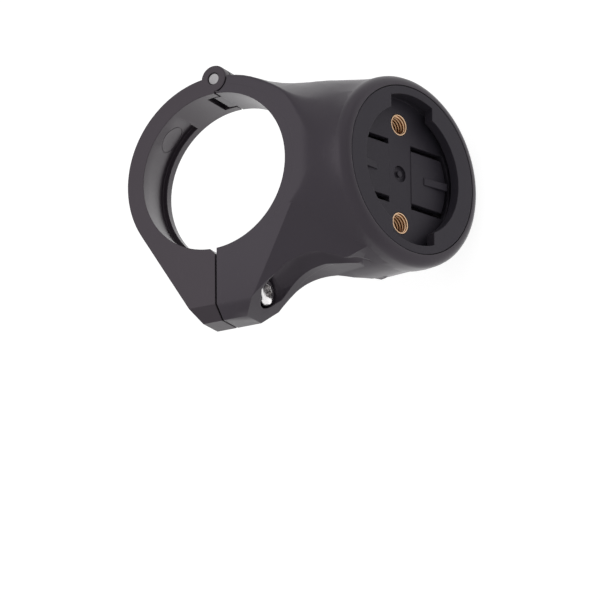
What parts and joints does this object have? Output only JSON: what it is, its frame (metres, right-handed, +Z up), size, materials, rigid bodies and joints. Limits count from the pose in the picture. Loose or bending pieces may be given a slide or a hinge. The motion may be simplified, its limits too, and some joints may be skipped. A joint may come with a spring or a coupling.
{
  "type": "seatpost light mount",
  "caption": "Hinged clamp ring for a bicycle seatpost with a short neck that carries a round quarter-turn socket for a rear light.",
  "frame": {"origin": "on the clamp bore's axis at mid height of the ring", "axes": "+Z up along the seatpost, +X towards the socket head, +Y towards the ring's hinge; the screw lug is at -Y"},
  "size_m": [0.0592, 0.0536, 0.0407],
  "materials": {
    "black_plastic": "satin moulded black",
    "socket_plastic": "matte moulded black",
    "steel": "dull grey steel",
    "stainless_steel": "bright machined",
    "brass": "bright turned"
  },
  "bodies": {
    "mount": {"main_body": "black_plastic", "socket_plate": "socket_plastic", "hinge_pin": "steel", "threaded_insert_upper": "brass", "threaded_insert_lower": "brass"},
    "arm": {"clamp_arm": "black_plastic", "clamp_nut": "stainless_steel"},
    "screw": {"clamp_screw": "stainless_steel"}
  },
  "joints": [
    {"name": "arm_hinge", "type": "hinge", "parent": "mount", "child": "arm", "pos_m": [0, 0.01975, 0], "axis": [0, 0, -1], "range_deg": [0, 80]},
    {"name": "screw_slide", "type": "slide", "parent": "mount", "child": "screw", "axis": [1, 0, 0], "range_m": [0, 0.0215]}
  ],
  "couplings": [
    {"joint": "screw_slide", "follows": "arm_hinge", "m_per_rad": 0.015}
  ]
}
